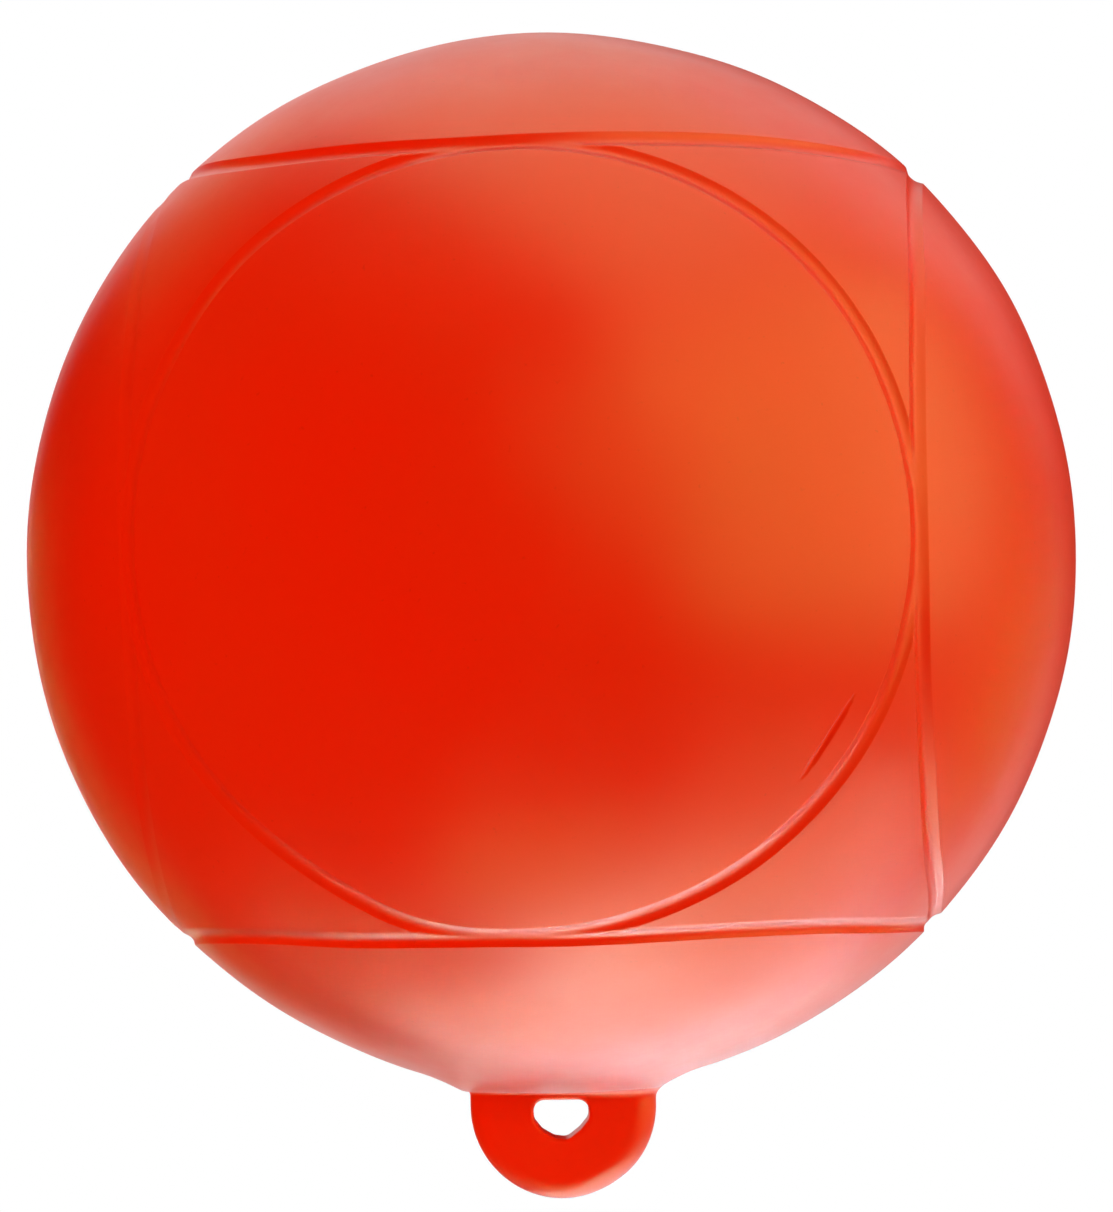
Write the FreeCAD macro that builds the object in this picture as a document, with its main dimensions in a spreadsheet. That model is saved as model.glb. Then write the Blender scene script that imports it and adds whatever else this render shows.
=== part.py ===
import FreeCAD, Part
import math
import os
import Sketcher
from FreeCAD import Vector

# Slalom buoy: a hollow, inflated vinyl ball with ring grooves, a flat lug with a rope eye below it,
# and a rubber needle valve behind. Lengths are in millimetres.
# The finished part has its origin at the centre of the rope eye, +Z up through the ball,
# and the ball's front panel faces -Y. Each body is drawn about the ball's centre and then raised.

SIZES = [
    ("ball_diameter", 230.0, "round part of the ball"),
    ("wall", 2.4, "vinyl wall of the ball, smooth inside"),
    ("tail_drop", 2.4, "how far the tapered bottom reaches below the round ball"),
    ("tail_angle", 55.0, "degrees up from the bottom, where the taper begins"),
    ("groove_width", 5.2, "ring groove from lip to lip"),
    ("groove_depth", 1.0, "ring groove below the skin"),
    ("ring_spacing", 0.8, "between two rings' centre lines where they nearly touch"),
    ("lug_width", 41.0, "across the lug, and twice the radius of its round end"),
    ("lug_side", 2.7, "upright side of the lug, from the shoulder to the round end"),
    ("lug_thickness", 9.5, "between the lug's flat faces"),
    ("lug_rim_flat", 0.3, "band left between the two roundings of the lug's rim"),
    ("shoulder_drop", 2.6, "from the bottom of the round ball to the lug's shoulder"),
    ("shoulder_radius", 1.6, "hollow corner between shoulder and lug"),
    ("shoulder_reach", 46.0, "half the width over which the shoulders fade into the ball"),
    ("eye_width", 12.4, "rope eye"),
    ("eye_height", 8.9, "rope eye"),
    ("eye_corner", 1.8, "upper corners of the rope eye"),
    ("eye_nose", 1.6, "rounded low point of the rope eye"),
    ("eye_setback", 8.5, "from the bottom of the round ball to the middle of the rope eye"),
    ("eye_rim", 0.8, "rounding of the rope eye's edges"),
    ("socket_radius", 7.5, "outside of the valve socket"),
    ("socket_length", 12.0, "valve socket, inwards from the skin"),
    ("stem_radius", 3.4, "stem of the valve"),
    ("head_radius", 5.2, "head of the valve"),
    ("head_thickness", 1.6, "head of the valve"),
    ("head_recess", 0.5, "from the skin down to the head of the valve"),
    ("head_chamfer", 0.4, "edge of the head"),
    ("bulb_radius", 4.6, "bulb that holds the valve from inside"),
    ("bulb_length", 4.0, "bulb"),
    ("bulb_tip_radius", 2.6, "narrow end of the bulb"),
    ("valve_clearance", 0.1, "round the stem and head, and behind the bulb"),
    ("needle_radius", 0.9, "passage for the inflating needle"),
    ("needle_depth", 12.0, "passage, from the head's face to its closed end"),
]

# Lengths worked out from the sizes above. Names in braces stand for cells or for earlier lines.
DERIVED = [
    ("round_radius", "({ball_diameter} / 2)"),
    ("inside_radius", "({round_radius} - {wall})"),
    ("mid_wall_radius", "({round_radius} - {wall} / 2)"),
    ("groove_arc", "(({groove_width} ^ 2 / 4 + {groove_depth} ^ 2) / (2 * {groove_depth}))"),
    ("ring_distance", "({round_radius} - {groove_depth} + {groove_arc})"),
    ("ring_diagonal", "sqrt({ring_distance} ^ 2 - {ring_spacing} ^ 2 / 4)"),
    ("ring_offset", "(({ring_diagonal} + {ring_spacing} / 2) / sqrt(2))"),
    ("ring_radius", "(({ring_diagonal} - {ring_spacing} / 2) / sqrt(2))"),
    ("eye_below", "({round_radius} + {eye_setback})"),
    ("shoulder_below", "({round_radius} + {shoulder_drop})"),
    ("lug_end_below", "({shoulder_below} + {lug_side})"),
    ("shoulder_end_below", "sqrt({round_radius} ^ 2 - {shoulder_reach} ^ 2)"),
    ("lug_rim", "(({lug_thickness} - {lug_rim_flat}) / 2)"),
    ("head_face", "({round_radius} - {head_recess})"),
    ("head_seat", "({head_face} - {head_thickness})"),
    ("socket_end", "({round_radius} - {socket_length})"),
    ("bulb_start", "({socket_end} - {valve_clearance})"),
    ("bulb_end", "({bulb_start} - {bulb_length})"),
    ("past_skin", "({round_radius} + {head_thickness})"),
]

# The numbers that a sketch has for the ends and centre of an edge, for its own axes and its origin.
START, END, CENTRE = range(1, 4)
LEVEL_AXIS, UPRIGHT_AXIS = range(-1, -3, -1)
ORIGIN_POINT = (LEVEL_AXIS, START)

FULL_TURN = 360.0
TINY = 1e-4

doc = FreeCAD.newDocument("slalom_buoy")
sheet = doc.addObject("Spreadsheet::Sheet", "sizes")
for row, (alias, number, note) in enumerate(SIZES, start=1):
    sheet.set("A%d" % row, str(number))
    sheet.setAlias("A%d" % row, alias)
    sheet.set("B%d" % row, note)
doc.recompute()

terms = {alias: "<<sizes>>." + alias for alias, number, note in SIZES}


def formula(text):
    """Write out the names in braces, so that the result can be bound to a property."""
    return text.format(**terms)


def value(text):
    """The number that a formula gives now."""
    return float(sheet.evalExpression(formula(text)))


for name, text in DERIVED:
    terms[name] = formula(text)


def new_body(name):
    """A body drawn about the ball's centre, raised so that the rope eye is at the origin."""
    body = doc.addObject("PartDesign::Body", name)
    body.Label = name
    body.setExpression("Placement.Base.z", formula("{eye_below}"))
    return body


def new_sketch(body, name, plane):
    """An empty sketch on one of the body's own origin planes."""
    sketch = body.newObject("Sketcher::SketchObject", name)
    support = [feature for feature in body.Origin.OriginFeatures if feature.Role == plane]
    sketch.AttachmentSupport = [(support[0], "")]
    sketch.MapMode = "FlatFace"
    return sketch


def dimension(sketch, name, kind, places, text):
    """A named driving constraint, bound to a formula."""
    index = sketch.addConstraint(Sketcher.Constraint(kind, *places, value(text)))
    sketch.renameConstraint(index, name)
    sketch.setExpression("Constraints." + name, formula(text))


def relate(sketch, kind, *places):
    """A geometric constraint between existing places."""
    sketch.addConstraint(Sketcher.Constraint(kind, *places))


def settle(sketch):
    """Solve a sketch, and stop if its constraints clash."""
    if sketch.solve() != 0:
        raise RuntimeError("%s can't be solved" % sketch.Label)


def line(sketch, start, end):
    """A straight edge between two points given in sketch coordinates."""
    return sketch.addGeometry(Part.LineSegment(Vector(*start, 0), Vector(*end, 0)), False)


def arc(sketch, centre, radius, start_angle, end_angle):
    """An arc run anticlockwise between two angles in degrees."""
    circle = Part.Circle(Vector(*centre, 0), Vector(0, 0, 1), radius)
    return sketch.addGeometry(
        Part.ArcOfCircle(circle, math.radians(start_angle), math.radians(end_angle)), False)


def polygon(sketch, corners):
    """A closed profile beside the level axis. Each corner is a pair of formulas, along and out."""
    points = [(value(along), value(out)) for along, out in corners]
    count = len(points)
    edges = [line(sketch, points[k], points[(k + 1) % count]) for k in range(count)]
    for k, (along, out) in enumerate(corners):
        relate(sketch, "Coincident", edges[k - 1], END, edges[k], START)
        dimension(sketch, "along_%d" % k, "DistanceX", (*ORIGIN_POINT, edges[k], START), along)
        if out == "0":
            relate(sketch, "PointOnObject", edges[k], START, LEVEL_AXIS)
        else:
            dimension(sketch, "out_%d" % k, "DistanceY", (*ORIGIN_POINT, edges[k], START), out)


def turn(body, name, sketch, axis, adds):
    """Turn a sketch fully about one of its axes, adding to the body or cutting from it."""
    settle(sketch)
    before = body.Tip.Shape.Volume if body.Tip else 0.0
    feature = body.newObject("PartDesign::Revolution" if adds else "PartDesign::Groove", name)
    feature.Profile = sketch
    feature.ReferenceAxis = (sketch, [axis])
    feature.Angle = FULL_TURN
    doc.recompute()
    gained = feature.Shape.Volume - before
    if (gained <= 0) if adds else (gained >= 0):
        raise RuntimeError("%s changes nothing" % name)
    return feature


def ball_outline(sketch):
    """Half a section of the ball: a round arc, a flatter arc that tapers the bottom, and the axis."""
    radius = value("{round_radius}")
    drop = value("{tail_drop}")
    tail_angle = math.radians(value("{tail_angle}"))
    growth = (radius * drop + drop ** 2 / 2) / (radius - math.cos(tail_angle) * (radius + drop))
    tail_centre = (-growth * math.sin(tail_angle), growth * math.cos(tail_angle))
    tail_radius = radius + growth
    joint_angle = math.degrees(tail_angle) - 90
    pole_angle = math.degrees(math.asin(-tail_centre[0] / tail_radius)) - 90

    upper = arc(sketch, (0, 0), radius, joint_angle, 90)
    tail = arc(sketch, tail_centre, tail_radius, pole_angle, joint_angle)
    axis = line(sketch, (0, radius), (0, -radius - drop))
    relate(sketch, "Coincident", upper, CENTRE, *ORIGIN_POINT)
    dimension(sketch, "round_radius", "Radius", (upper,), "{round_radius}")
    relate(sketch, "PointOnObject", upper, END, UPRIGHT_AXIS)
    relate(sketch, "Tangent", upper, START, tail, END)
    relate(sketch, "Coincident", upper, END, axis, START)
    relate(sketch, "Coincident", axis, END, tail, START)
    relate(sketch, "PointOnObject", tail, START, UPRIGHT_AXIS)
    dimension(sketch, "joint_below", "DistanceY", (upper, START, *ORIGIN_POINT),
              "{round_radius} * cos({tail_angle})")
    dimension(sketch, "pole_below", "DistanceY", (tail, START, *ORIGIN_POINT),
              "{round_radius} + {tail_drop}")


def hollow_outline(sketch):
    """Half a section of the hollow, which is plainly round."""
    radius = value("{inside_radius}")
    round_side = arc(sketch, (0, 0), radius, -90, 90)
    axis = line(sketch, (0, radius), (0, -radius))
    relate(sketch, "Coincident", round_side, CENTRE, *ORIGIN_POINT)
    relate(sketch, "Coincident", round_side, END, axis, START)
    relate(sketch, "Coincident", axis, END, round_side, START)
    relate(sketch, "PointOnObject", axis, START, UPRIGHT_AXIS)
    relate(sketch, "PointOnObject", axis, END, UPRIGHT_AXIS)
    dimension(sketch, "inside_radius", "Radius", (round_side,), "{inside_radius}")


def lug_outline(sketch):
    """The lug seen from the front: a round end, upright sides, and shoulders that run up into the ball."""
    half = value("{lug_width} / 2")
    end_below = value("{lug_end_below}")
    corner = value("{shoulder_radius}")
    reach = value("{shoulder_reach}")
    reach_below = value("{shoulder_end_below}")
    shoulder_below = value("{shoulder_below}")
    slope = math.atan2(shoulder_below - reach_below, reach - half)
    setback = corner * math.tan((math.pi / 2 - slope) / 2)
    slope_degrees = math.degrees(slope)
    side_top = shoulder_below + setback
    flare_start = (half + setback * math.cos(slope), -shoulder_below + setback * math.sin(slope))

    bottom = arc(sketch, (0, -end_below), half, 180, 360)
    right_side = line(sketch, (half, -end_below), (half, -side_top))
    right_corner = arc(sketch, (half + corner, -side_top), corner, 90 + slope_degrees, 180)
    right_flare = line(sketch, flare_start, (reach, -reach_below))
    top = line(sketch, (reach, -reach_below), (-reach, -reach_below))
    left_flare = line(sketch, (-reach, -reach_below), (-flare_start[0], flare_start[1]))
    left_corner = arc(sketch, (-half - corner, -side_top), corner, 0, 90 - slope_degrees)
    left_side = line(sketch, (-half, -side_top), (-half, -end_below))
    knee = sketch.addGeometry(Part.Point(Vector(half, -shoulder_below, 0)), True)

    relate(sketch, "Tangent", bottom, END, right_side, START)
    relate(sketch, "Tangent", right_side, END, right_corner, END)
    relate(sketch, "Tangent", right_corner, START, right_flare, START)
    relate(sketch, "Coincident", right_flare, END, top, START)
    relate(sketch, "Coincident", top, END, left_flare, START)
    relate(sketch, "Tangent", left_flare, END, left_corner, END)
    relate(sketch, "Tangent", left_corner, START, left_side, START)
    relate(sketch, "Tangent", left_side, END, bottom, START)
    relate(sketch, "Vertical", right_side)
    relate(sketch, "Vertical", left_side)
    relate(sketch, "PointOnObject", bottom, CENTRE, UPRIGHT_AXIS)
    relate(sketch, "Symmetric", top, START, top, END, UPRIGHT_AXIS)
    relate(sketch, "Horizontal", right_corner, CENTRE, left_corner, CENTRE)
    relate(sketch, "Equal", right_corner, left_corner)
    relate(sketch, "PointOnObject", knee, START, right_side)
    relate(sketch, "PointOnObject", knee, START, right_flare)
    dimension(sketch, "end_radius", "Radius", (bottom,), "{lug_width} / 2")
    dimension(sketch, "end_below", "DistanceY", (bottom, CENTRE, *ORIGIN_POINT), "{lug_end_below}")
    dimension(sketch, "corner_radius", "Radius", (right_corner,), "{shoulder_radius}")
    dimension(sketch, "reach", "DistanceX", (*ORIGIN_POINT, top, START), "{shoulder_reach}")
    dimension(sketch, "reach_below", "DistanceY", (top, START, *ORIGIN_POINT), "{shoulder_end_below}")
    dimension(sketch, "knee_below", "DistanceY", (knee, START, *ORIGIN_POINT), "{shoulder_below}")


def eye_outline(sketch):
    """The rope eye: a flat top, two rounded corners, and flanks that close to a rounded low point."""
    below = value("{eye_below}")
    corner = value("{eye_corner}")
    nose = value("{eye_nose}")
    corner_x = value("{eye_width} / 2") - corner
    corner_y = -below + value("{eye_height} / 2") - corner
    nose_y = -below - value("{eye_height} / 2") + nose
    apart = math.hypot(corner_x, corner_y - nose_y)
    lean = math.atan2(corner_y - nose_y, corner_x) - math.asin((corner - nose) / apart)
    outward = (math.sin(lean), -math.cos(lean))
    lean_degrees = math.degrees(lean)

    def on_circle(centre, radius, direction):
        return (centre[0] + radius * direction[0], centre[1] + radius * direction[1])

    flank_top = on_circle((corner_x, corner_y), corner, outward)
    flank_low = on_circle((0, nose_y), nose, outward)
    top = line(sketch, (-corner_x, corner_y + corner), (corner_x, corner_y + corner))
    right_corner = arc(sketch, (corner_x, corner_y), corner, lean_degrees - 90, 90)
    right_flank = line(sketch, flank_top, flank_low)
    low_point = arc(sketch, (0, nose_y), nose, -90 - lean_degrees, lean_degrees - 90)
    left_flank = line(sketch, (-flank_low[0], flank_low[1]), (-flank_top[0], flank_top[1]))
    left_corner = arc(sketch, (-corner_x, corner_y), corner, 90, 270 - lean_degrees)

    relate(sketch, "Tangent", top, END, right_corner, END)
    relate(sketch, "Tangent", right_corner, START, right_flank, START)
    relate(sketch, "Tangent", right_flank, END, low_point, END)
    relate(sketch, "Tangent", low_point, START, left_flank, START)
    relate(sketch, "Tangent", left_flank, END, left_corner, END)
    relate(sketch, "Tangent", left_corner, START, top, START)
    relate(sketch, "PointOnObject", low_point, CENTRE, UPRIGHT_AXIS)
    relate(sketch, "Symmetric", right_corner, CENTRE, left_corner, CENTRE, UPRIGHT_AXIS)
    relate(sketch, "Equal", right_corner, left_corner)
    dimension(sketch, "corner_radius", "Radius", (right_corner,), "{eye_corner}")
    dimension(sketch, "nose_radius", "Radius", (low_point,), "{eye_nose}")
    dimension(sketch, "corner_out", "DistanceX", (*ORIGIN_POINT, right_corner, CENTRE),
              "{eye_width} / 2 - {eye_corner}")
    dimension(sketch, "corner_below", "DistanceY", (right_corner, CENTRE, *ORIGIN_POINT),
              "{eye_below} - {eye_height} / 2 + {eye_corner}")
    dimension(sketch, "nose_below", "DistanceY", (low_point, CENTRE, *ORIGIN_POINT),
              "{eye_below} + {eye_height} / 2 - {eye_nose}")


def edges_where(feature, test):
    """Names of the edges of a feature's shape for which a test of their box holds."""
    return ["Edge%d" % k for k, edge in enumerate(feature.Shape.Edges, start=1) if test(edge.BoundBox)]


def slab(body, name, sketch, thickness, adds):
    """Push a sketch evenly to both sides of its plane, adding to the body or cutting from it."""
    settle(sketch)
    feature = body.newObject("PartDesign::Pad" if adds else "PartDesign::Pocket", name)
    feature.Profile = sketch
    feature.SideType = "Symmetric"
    feature.setExpression("Length", formula(thickness))
    return feature


def soften(body, name, feature, edge_names, radius):
    """Round the named edges of a feature."""
    fillet = body.newObject("PartDesign::Fillet", name)
    fillet.Base = (feature, edge_names)
    fillet.setExpression("Radius", formula(radius))
    return fillet


# The rings: which side of the ball each one circles, and the sketch plane and axis that it is turned in.
RINGS = [
    ("front", "YZ_Plane", "H_Axis", -1),
    ("back", "YZ_Plane", "H_Axis", 1),
    ("bottom", "XZ_Plane", "V_Axis", -1),
    ("top", "XZ_Plane", "V_Axis", 1),
    ("left", "XZ_Plane", "H_Axis", -1),
    ("right", "XZ_Plane", "H_Axis", 1),
]


def ring_groove(body, side, plane, axis, sign):
    """One ring groove: a round cutter turned about the axis that its ring circles."""
    along, out = ("DistanceX", "DistanceY") if axis == "H_Axis" else ("DistanceY", "DistanceX")
    offset = sign * value("{ring_offset}")
    radius = value("{ring_radius}")
    centre = Vector(offset, radius, 0) if axis == "H_Axis" else Vector(radius, offset, 0)
    sketch = new_sketch(body, "ring_%s_section" % side, plane)
    cutter = sketch.addGeometry(Part.Circle(centre, Vector(0, 0, 1), value("{groove_arc}")), False)
    dimension(sketch, "arc", "Radius", (cutter,), "{groove_arc}")
    from_centre = (*ORIGIN_POINT, cutter, CENTRE) if sign > 0 else (cutter, CENTRE, *ORIGIN_POINT)
    dimension(sketch, "offset", along, from_centre, "{ring_offset}")
    dimension(sketch, "radius", out, (*ORIGIN_POINT, cutter, CENTRE), "{ring_radius}")
    turn(body, "ring_%s" % side, sketch, axis, adds=False)


def make_shell():
    """The ball, its lug and its valve socket: one hollow moulding."""
    body = new_body("buoy_shell")

    lug_sketch = new_sketch(body, "lug_outline", "XZ_Plane")
    lug_outline(lug_sketch)
    lug = slab(body, "lug", lug_sketch, "{lug_thickness}", adds=True)
    doc.recompute()
    top_of_lug = -value("{shoulder_end_below}")

    def on_rim(box):
        return box.YLength < TINY and box.ZMax < top_of_lug + TINY and box.ZLength > TINY

    soften(body, "lug_rim", lug, edges_where(lug, on_rim), "{lug_rim}")
    doc.recompute()

    ball_sketch = new_sketch(body, "ball_section", "XZ_Plane")
    ball_outline(ball_sketch)
    turn(body, "ball", ball_sketch, "V_Axis", adds=True)

    for ring in RINGS:
        ring_groove(body, *ring)

    hollow_sketch = new_sketch(body, "hollow_section", "XZ_Plane")
    hollow_outline(hollow_sketch)
    turn(body, "hollow", hollow_sketch, "V_Axis", adds=False)

    socket_sketch = new_sketch(body, "socket_section", "YZ_Plane")
    polygon(socket_sketch, [
        ("{socket_end}", "0"),
        ("{mid_wall_radius}", "0"),
        ("{mid_wall_radius}", "{socket_radius}"),
        ("{socket_end}", "{socket_radius}"),
    ])
    turn(body, "socket", socket_sketch, "H_Axis", adds=True)

    bore_sketch = new_sketch(body, "bore_section", "YZ_Plane")
    polygon(bore_sketch, [
        ("{bulb_end}", "0"),
        ("{past_skin}", "0"),
        ("{past_skin}", "{head_radius} + {valve_clearance}"),
        ("{head_seat}", "{head_radius} + {valve_clearance}"),
        ("{head_seat}", "{stem_radius} + {valve_clearance}"),
        ("{bulb_end}", "{stem_radius} + {valve_clearance}"),
    ])
    turn(body, "bore", bore_sketch, "H_Axis", adds=False)

    eye_sketch = new_sketch(body, "eye_outline", "XZ_Plane")
    eye_outline(eye_sketch)
    eye = slab(body, "eye", eye_sketch, "2 * {lug_thickness}", adds=False)
    doc.recompute()
    eye_half_width = value("{eye_width} / 2")
    eye_top = value("{eye_height} / 2 - {eye_below}")
    eye_low = -value("{eye_height} / 2 + {eye_below}")

    def on_eye_edge(box):
        across = box.XMin > -eye_half_width - TINY and box.XMax < eye_half_width + TINY
        upright = box.ZMin > eye_low - TINY and box.ZMax < eye_top + TINY
        return box.YLength < TINY and across and upright

    soften(body, "eye_rim", eye, edges_where(eye, on_eye_edge), "{eye_rim}")
    doc.recompute()
    return body


def make_valve():
    """The needle valve: a stem with a flush head, a bulb inside, and a blind passage for the needle."""
    body = new_body("needle_valve")
    section = new_sketch(body, "valve_section", "YZ_Plane")
    polygon(section, [
        ("{bulb_end}", "0"),
        ("{head_face}", "0"),
        ("{head_face}", "{head_radius} - {head_chamfer}"),
        ("{head_face} - {head_chamfer}", "{head_radius}"),
        ("{head_seat}", "{head_radius}"),
        ("{head_seat}", "{stem_radius}"),
        ("{bulb_start}", "{stem_radius}"),
        ("{bulb_start}", "{bulb_radius}"),
        ("{bulb_end}", "{bulb_tip_radius}"),
    ])
    turn(body, "plug", section, "H_Axis", adds=True)

    passage = new_sketch(body, "passage_section", "YZ_Plane")
    polygon(passage, [
        ("{head_face} - {needle_depth}", "0"),
        ("{past_skin}", "0"),
        ("{past_skin}", "{needle_radius}"),
        ("{head_face} - {needle_depth}", "{needle_radius}"),
    ])
    turn(body, "passage", passage, "H_Axis", adds=False)
    return body


bodies = [make_shell(), make_valve()]
doc.recompute()

for item in doc.Objects:
    if "Invalid" in item.State or "Error" in item.State:
        raise RuntimeError("%s failed: %s" % (item.Label, item.State))

for body in bodies:
    if body.Shape.isNull() or not body.Shape.isValid() or len(body.Shape.Solids) != 1:
        raise RuntimeError("%s is not one sound solid" % body.Label)

os.makedirs("parts", exist_ok=True)
for body in bodies:
    body.Shape.exportStep("parts/%s.step" % body.Label)
    box = body.Shape.BoundBox
    print("%s: volume %.0f mm3, X %.2f to %.2f, Y %.2f to %.2f, Z %.2f to %.2f" % (
        body.Label, body.Shape.Volume, box.XMin, box.XMax, box.YMin, box.YMax, box.ZMin, box.ZMax))
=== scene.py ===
import math

import bpy
import numpy as np
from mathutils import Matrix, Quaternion, Vector
from mathutils.geometry import delaunay_2d_cdt


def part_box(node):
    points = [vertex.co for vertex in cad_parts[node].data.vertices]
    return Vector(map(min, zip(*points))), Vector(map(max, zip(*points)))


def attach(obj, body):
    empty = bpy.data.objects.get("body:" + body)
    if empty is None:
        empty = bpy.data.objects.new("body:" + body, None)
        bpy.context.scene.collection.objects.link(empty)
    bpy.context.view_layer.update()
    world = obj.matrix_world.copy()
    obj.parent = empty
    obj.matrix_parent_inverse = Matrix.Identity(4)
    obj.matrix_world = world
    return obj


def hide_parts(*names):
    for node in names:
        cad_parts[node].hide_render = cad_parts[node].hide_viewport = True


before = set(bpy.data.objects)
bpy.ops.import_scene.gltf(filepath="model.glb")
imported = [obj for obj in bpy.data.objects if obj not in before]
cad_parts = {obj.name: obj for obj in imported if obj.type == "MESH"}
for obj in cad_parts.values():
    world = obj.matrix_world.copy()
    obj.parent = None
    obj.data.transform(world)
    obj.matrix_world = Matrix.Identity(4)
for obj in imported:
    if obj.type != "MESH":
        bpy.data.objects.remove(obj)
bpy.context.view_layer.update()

# An inflated vinyl slalom buoy. Two pieces stand for the two solids: a hollow skin with its ring
# grooves, lug and rope eye, and the rubber needle valve in its socket behind. Shapes are worked out
# in millimetres about the ball's centre, and become metres in the part's own frame at the end.

MM = 0.001

# The ball.
RADIUS = 115.0
CENTRE_UP = np.array([0.0, 0.0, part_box("buoy_shell")[1].z / MM - RADIUS])
TAIL_DROP = 2.4                 # the tapered bottom reaches this far below the round ball
TAIL_ANGLE = math.radians(55)   # up from the bottom, where the taper begins
SWELL = 0.5                     # the skin stands this proud between the six panels
WAVES = 14                      # the skin's shallow unevenness is this many waves, one over another
WAVE_SEED = 11
WAVE_HEIGHT = 0.045             # of each
WAVE_LENGTHS = (32.0, 85.0)     # shortest and longest

# The ring grooves.
RING_ANGLE = math.radians(44.806)   # from a ring's axis to its centre line
GROOVE_HALF = 2.35              # from the middle of a groove to its lip
GROOVE_DEPTH = 0.95
GROOVE_ROUND = 1.25             # roundness of its lips
# How far a groove's deepest line lies to one side, as a share of its half width.
GROOVE_LEANS = {(0, 0, -1): 0.36, (0, -1, 0): -0.15}
NOTCH_POWER = 4                 # how sharply two grooves take over from each other
RING_FADE = (0.2, 0.62)         # how far to the left a ring starts to get shallower, and stops
# Each ring's axis, and how much shallower it gets towards the left.
RINGS = [
    ((0, -1, 0), 0.45),
    ((0, 1, 0), 0.0),
    ((0, 0, -1), 0.3),
    ((0, 0, 1), 0.3),
    ((-1, 0, 0), 0.82),
    ((1, 0, 0), 0.0),
]
# Lines of points laid along each ring, by their distance from its centre line.
RING_LINES = (0, 0.45, 0.85, 1.2, 1.55, 1.85, 2.1, 2.3, 2.5, 2.8, 3.3, 4.1)
RING_STEPS = 372
# Where a ring strays from its circle: the ring, a direction, how far outwards, and over what reach.
RING_STRAYS = [
    ((0, 0, 1), (-0.25, -0.64, 0.72), 0.9, 42.0),
    ((0, 0, 1), (-0.66, -0.2, 0.72), -3.0, 30.0),
    ((0, 0, 1), (0.65, -0.32, 0.69), 0.6, 30.0),
    ((0, 0, -1), (-0.6, -0.42, -0.68), 2.0, 30.0),
    ((0, 0, -1), (0.47, -0.52, -0.71), 1.6, 34.0),
    ((0, 0, -1), (0.24, -0.66, -0.71), -0.5, 25.0),
    ((1, 0, 0), (0.7, -0.68, -0.2), 0.5, 35.0),
    ((1, 0, 0), (0.72, -0.25, -0.65), -1.5, 18.0),
    ((0, -1, 0), (0.0, -0.69, 0.72), -0.4, 45.0),
    ((0, -1, 0), (-0.54, -0.56, 0.63), 1.3, 32.0),
    ((0, -1, 0), (-0.18, -0.71, -0.68), 1.4, 14.0),
    ((0, -1, 0), (-0.43, -0.72, -0.55), -1.2, 22.0),
]
RING_GAP = 0.1                  # points nearer than this to the border between two rings are left out
RING_MARGIN = 1.3               # from the outermost line to the open skin's own points

# The pinched crease, low on the right.
CREASE_ENDS = ((67.5, -86.9, -33.4), (55.9, -86.6, -51.0))
CREASE_HALF = 1.0               # half its width in the middle
CREASE_DEPTH = 0.8
CREASE_ROUND = 1.5              # roundness of its lips
CREASE_SIDE = 0.9               # least cosine to its start: keeps it on its own side of the ball
CREASE_TIP = 1e-6               # least square of its width, so that its ends have one
CREASE_LINES = (0, 0.25, 0.5, 0.75, 1.0, 1.5)
CREASE_STEP = 0.7
CREASE_BEYOND = 1.5             # its lines of points run on this far
CREASE_MARGIN = 3.4

# The lug and the rope eye.
LUG_RADIUS = 20.4
LUG_TOP = -90.0                 # the lug ends here, well inside the ball
LUG_CENTRE = -120.1             # centre of the round end
LUG_HALF = 4.75                 # half its thickness
LUG_RIM = 4.6                   # rounding of the rim
LUG_FILLETS = (0.6, 2.2)        # hollow corner against the ball, at the left and at the right
LUG_FILLET_SPAN = (0, 14)       # where the one becomes the other
LUG_FLAT_AT = math.radians(-52)     # a pressed flat on the rim, low on the right in front
LUG_FLAT_TURN = math.radians(-62)   # the way it faces, round the lug
LUG_FLAT_TILT = math.radians(56)    # and away from the front
LUG_FLAT_DEPTH = 0.45
LUG_FLAT_BLEND = 0.9
SKIRT_REACH = 30.9              # the ball is drawn down to the lug from here
SKIRT_CURVE = 0.019             # how fast it comes down there
SKIRT_MIDDLE = 0.25             # how far it is drawn down in the middle
SKIRT_CORNER = 1.7              # and how much further at the lug's corners
SKIRT_BLEND = 0.5               # rounding between the two
SKIRT_LIFT = 0.01
SKIRT_DEPTH = (4.0, 36.0)       # fore and aft, where the skirt starts to fade and is gone
EYE_CENTRE = -123.0
EYE_ROUND = 2.3                 # rounding of its outline
EYE_EDGE = 0.9                  # rounding of its edges, in front and behind
EYE_SLANT = (0.1, -0.05)        # the eye runs a little to the left and up on its way back
# Corners of the eye before they are rounded, about its centre.
EYE_CORNERS = [
    (-3.8, 1.9), (3.7, 1.9), (3.75, 0.9), (2.5, -0.6), (0.6, -2.05), (-0.8, -1.85), (-2.6, -0.8), (-3.7, 0.6),
]
# The box round the lug whose surface is netted, with the size of a cell.
PATCH_LOW = (-36.0, -27.0, -143.0)
PATCH_HIGH = (36.0, 27.0, -104.0)
PATCH_STEP = 0.6
PATCH_MARGIN = 1.3
LEAST_SLOPE = 0.05              # keeps a step onto the surface short where the surface has no one slope

# The open skin and the inside.
OPEN_SKIN_STEP = 2.8
JOIN_WITHIN = 1e-9              # points nearer than this on the plane are one
INSIDE_RADIUS = 112.6
INSIDE_ROWS = 48

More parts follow.
